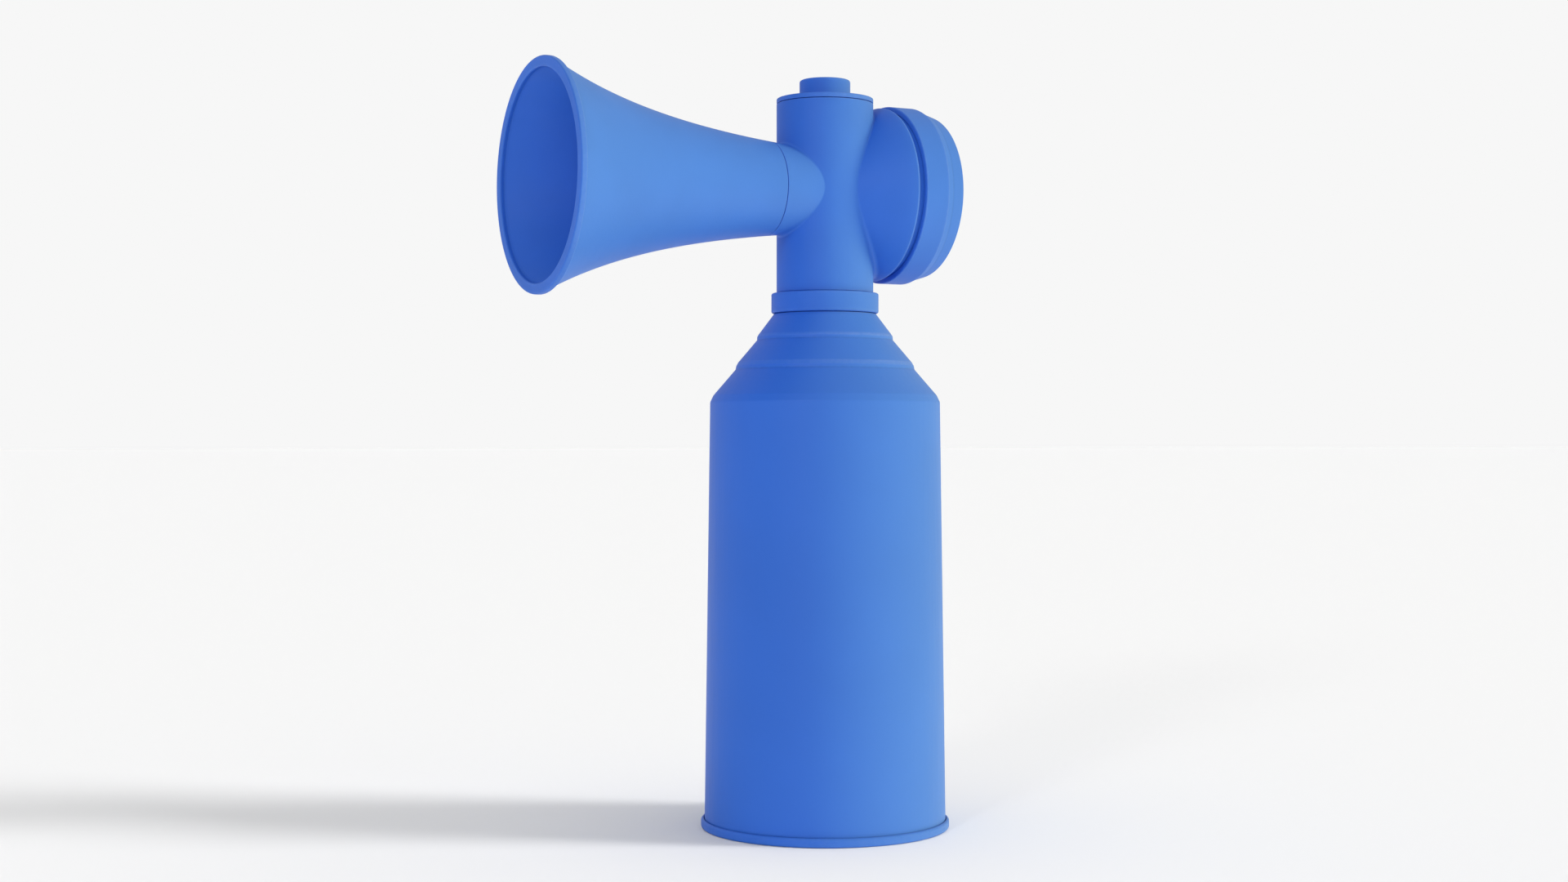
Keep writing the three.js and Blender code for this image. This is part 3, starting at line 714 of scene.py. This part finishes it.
def painted_steel():
    """Satin lacquer on thin drawn steel: slight orange peel and fine handling scratches."""
    material, tree, shader, place = new_finish("painted_steel")
    colour = worn_blue_with_painted_shade(tree, place, cloud_size=0.05, contrast=0.04, bare=(0.18, 0.34, 0.74), rub=0.14)
    tree.links.new(colour, shader.inputs["Base Color"])
    scuffs = noise(tree, place, 0.0012, 3, (1, 1, 0.04))
    tree.links.new(between(tree, scuffs, 0.42, 0.56), shader.inputs["Roughness"])
    shader.inputs["Specular IOR Level"].default_value = 0.25
    peel = bump(tree, noise(tree, place, 0.0018, 2), 0.000022)
    drawn = bump(tree, noise(tree, place, 0.0006, 2, (1, 1, 0.02)), 0.000006, peel)
    tree.links.new(drawn, shader.inputs["Normal"])
    return material


def rubber():
    """Black moulded rubber with pale dust in its pores."""
    material, tree, shader, place = new_finish("rubber")
    dust = sharpen(tree, noise(tree, place, 0.002, 4), 0.45, 0.8)
    colour = blend_colours(tree, dust, (0.012, 0.012, 0.013), (0.03, 0.03, 0.032))
    tree.links.new(colour, shader.inputs["Base Color"])
    tree.links.new(between(tree, dust, 0.6, 0.85), shader.inputs["Roughness"])
    tree.links.new(bump(tree, noise(tree, place, 0.0003, 3), 0.00002), shader.inputs["Normal"])
    return material


def nylon():
    """Natural white nylon, slightly cloudy."""
    material, tree, shader, place = new_finish("nylon")
    clouds = noise(tree, place, 0.006, 3)
    colour = blend_colours(tree, clouds, (0.72, 0.72, 0.66), (0.82, 0.82, 0.77))
    tree.links.new(colour, shader.inputs["Base Color"])
    tree.links.new(between(tree, clouds, 0.3, 0.45), shader.inputs["Roughness"])
    tree.links.new(bump(tree, noise(tree, place, 0.0004, 2), 0.00001), shader.inputs["Normal"])
    return material


def drawn_metal(name, tone, stretch):
    """Bare metal whose fine lines run the way that the pattern is stretched."""
    material, tree, shader, place = new_finish(name)
    lines = noise(tree, place, 0.0004, 3, stretch)
    colour = blend_colours(tree, lines, shade(tone, 0.85), shade(tone, 1.1))
    tree.links.new(colour, shader.inputs["Base Color"])
    tree.links.new(between(tree, lines, 0.22, 0.42), shader.inputs["Roughness"])
    shader.inputs["Metallic"].default_value = 1.0
    tree.links.new(bump(tree, lines, 0.000008), shader.inputs["Normal"])
    return material


# ---------------------------------------------------------------- the pieces

FINISH = {
    "blue_plastic": blue_plastic(),
    "painted_steel": painted_steel(),
    "rubber": rubber(),
    "nylon": nylon(),
    "aluminium": drawn_metal("aluminium", (0.75, 0.76, 0.78), (1, 1, 0.05)),
    "spring_steel": drawn_metal("spring_steel", (0.56, 0.57, 0.58), (1, 1, 1)),
}
SLOT_OF = {part["node"]: part["material_slot"] for part in frame["record"]["subparts"]}


def stand_for(node, grids):
    """Fine piece that replaces a CAD node, on the same body and with the same finish."""
    piece = make_piece(f"{node}_shell", grids, FINISH[SLOT_OF[node]])
    body = next(name for name, nodes in frame["record"]["behaviour"]["bodies"].items() if node in nodes)
    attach(piece, body)
    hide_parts(node)
    return piece


def add_spring(node, wire, turns):
    """Spring that stands on its lower end, with a mesh of its own."""
    piece = stand_for(node, [coil_grid(node, wire, turns)])
    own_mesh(piece)


stand_for("can_body", [spin_up(can_body_rows())])
stand_for("can_base", [spin_up(can_base_rows())])
stand_for("lock_collar", [spin_up(lock_collar_rows())])
stand_for("head_body", head_body_grids())
stand_for("trumpet", [spin_along(trumpet_rows(), -1)])
stand_for("rear_cover", [spin_along(rear_cover_rows(), 1)])
stand_for("top_cap", [spin_up(top_cap_rows())])
stand_for("button", [spin_up(button_rows())])
add_spring("return_spring", RETURN_WIRE, RETURN_TURNS)
add_spring("valve_spring", VALVE_WIRE, VALVE_TURNS)

for node, thing in frame["nodes"].items():
    thing.data.materials.clear()
    thing.data.materials.append(FINISH[SLOT_OF[node]])


# ---------------------------------------------------------------- floor, light and camera

def look(from_azimuth, elevation):
    """Rotation of a lamp that shines from this azimuth (degrees from -Y towards +X) and elevation."""
    return (math.radians(90 - elevation), 0, math.radians(from_azimuth))


def add_sun(name, azimuth, elevation, strength, softness, colour=(1, 1, 1)):
    """Sun lamp that shines from an azimuth and elevation; softness is its width in the sky."""
    data = bpy.data.lights.new(name, "SUN")
    data.energy = strength
    data.angle = math.radians(softness)
    data.color = colour
    lamp = bpy.data.objects.new(name, data)
    lamp.rotation_euler = look(azimuth, elevation)
    bpy.context.collection.objects.link(lamp)
    return lamp


def light_floor(lamp, floor, state):
    """Lets the lamp light only the floor (INCLUDE) or everything but the floor (EXCLUDE)."""
    group = bpy.data.collections.new(f"{lamp.name}_floor")
    group.objects.link(floor)
    lamp.light_linking.receiver_collection = group
    group.collection_objects[0].light_linking.link_state = state


def add_floor():
    """Wide matt pale floor."""
    bm = bmesh.new()
    bmesh.ops.create_grid(bm, x_segments=1, y_segments=1, size=30)
    mesh = bpy.data.meshes.new("floor")
    bm.to_mesh(mesh)
    bm.free()
    floor = bpy.data.objects.new("floor", mesh)
    bpy.context.collection.objects.link(floor)
    material, _, shader, _ = new_finish("floor")
    shader.inputs["Base Color"].default_value = (FLOOR_GREY, FLOOR_GREY, FLOOR_GREY, 1)
    shader.inputs["Roughness"].default_value = 1.0
    shader.inputs["Specular IOR Level"].default_value = 0.0
    mesh.materials.append(material)
    return floor


def add_sky():
    """Even white surroundings, with their own brightness where the camera looks straight at them."""
    world = bpy.data.worlds.new("studio")
    bpy.context.scene.world = world
    world.use_nodes = True
    tree = world.node_tree
    tree.nodes["Background"].inputs["Strength"].default_value = SKY_LIGHT
    backdrop = tree.nodes.new("ShaderNodeBackground")
    backdrop.inputs["Strength"].default_value = SKY_SEEN
    for background in (tree.nodes["Background"], backdrop):
        background.inputs["Color"].default_value = (1, 1, 1, 1)
    chooser = tree.nodes.new("ShaderNodeMixShader")
    path = tree.nodes.new("ShaderNodeLightPath")
    tree.links.new(path.outputs["Is Camera Ray"], chooser.inputs[0])
    tree.links.new(tree.nodes["Background"].outputs[0], chooser.inputs[1])
    tree.links.new(backdrop.outputs[0], chooser.inputs[2])
    tree.links.new(chooser.outputs[0], tree.nodes["World Output"].inputs["Surface"])


def add_camera():
    """Level camera half way up the horn, on the side where its mouth is seen a little from the front."""
    data = bpy.data.cameras.new("camera")
    data.lens = LENS
    data.sensor_width = SENSOR
    data.clip_start = 0.01
    camera = bpy.data.objects.new("camera", data)
    bearing = math.radians(CAMERA_BEARING)
    camera.location = (
        AXIS_X * MM - CAMERA_DISTANCE * math.sin(bearing),
        -CAMERA_DISTANCE * math.cos(bearing),
        CAMERA_HEIGHT,
    )
    camera.rotation_euler = (math.radians(90), 0, math.radians(-CAMERA_TURN))
    bpy.context.collection.objects.link(camera)
    bpy.context.scene.camera = camera


floor = add_floor()
add_sky()
for light in OBJECT_LIGHTS:
    lamp = add_sun(*light, WARM)
    lamp.visible_glossy = False
    light_floor(lamp, floor, "EXCLUDE")
    # The floor does not stop these lights either, because the bounce comes from below it.
    lamp.light_linking.blocker_collection = lamp.light_linking.receiver_collection
for light in FLOOR_LIGHTS:
    light_floor(add_sun(*light), floor, "INCLUDE")
add_sun(*FILL_LIGHT)
add_camera()
bpy.context.scene.view_settings.view_transform = "Standard"
